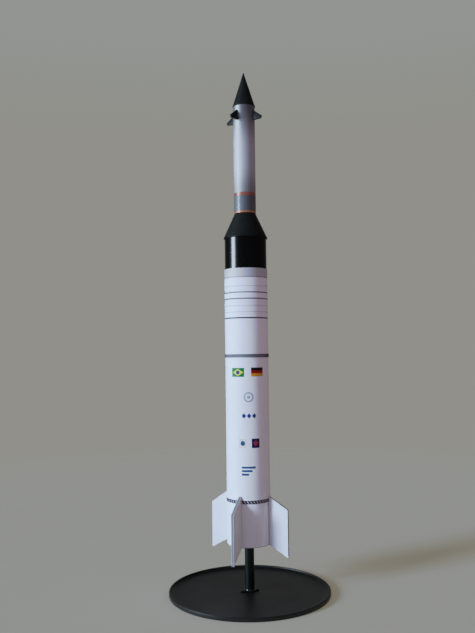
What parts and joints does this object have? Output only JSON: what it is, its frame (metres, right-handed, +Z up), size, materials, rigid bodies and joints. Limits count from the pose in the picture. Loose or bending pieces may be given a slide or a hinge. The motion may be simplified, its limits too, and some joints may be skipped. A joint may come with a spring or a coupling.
{
  "type": "card display model of a sounding rocket on a stand",
  "caption": "Rolled-card model of a slim two-stage sounding rocket with swept tail fins and wedge canards, glued to a rod that stands in a shallow round black dish.",
  "frame": {"origin": "centre of the dish's underside, on the surface that the model stands on", "axes": "+Z up along the rocket; the four tail fins point along +X, -X, +Y and -Y"},
  "size_m": [0.076, 0.076, 0.2495],
  "materials": {
    "white_card": "smooth printed card, satin",
    "fin_card": "thick white card with cut grey edges",
    "grey_print": "dark grey printed band",
    "gloss_black_card": "gloss black printed card",
    "matt_black_card": "matt black printed card",
    "silver_card": "silver-grey satin card",
    "red_orange_card": "red-orange printed card",
    "black_rod": "gloss black",
    "black_dish": "satin black, faintly grained"
  },
  "bodies": {
    "root": {"base_dish": "black_dish", "rod_foot": "black_rod", "stand_rod": "black_rod", "tail_disc": "white_card", "tail_tube": "white_card", "lower_joint_ring": "grey_print", "motor_tube": "white_card", "upper_joint_ring": "grey_print", "front_tube": "white_card", "interstage_tube": "gloss_black_card", "adapter_cone": "matt_black_card", "collar_ring": "red_orange_card", "payload_sleeve": "silver_card", "payload_band": "red_orange_card", "payload_tube": "white_card", "nose_cone": "matt_black_card", "fin_front": "fin_card", "fin_right": "fin_card", "fin_rear": "fin_card", "fin_left": "fin_card", "canard_front": "matt_black_card", "canard_right": "matt_black_card", "canard_rear": "matt_black_card", "canard_left": "matt_black_card"}
  },
  "joints": []
}
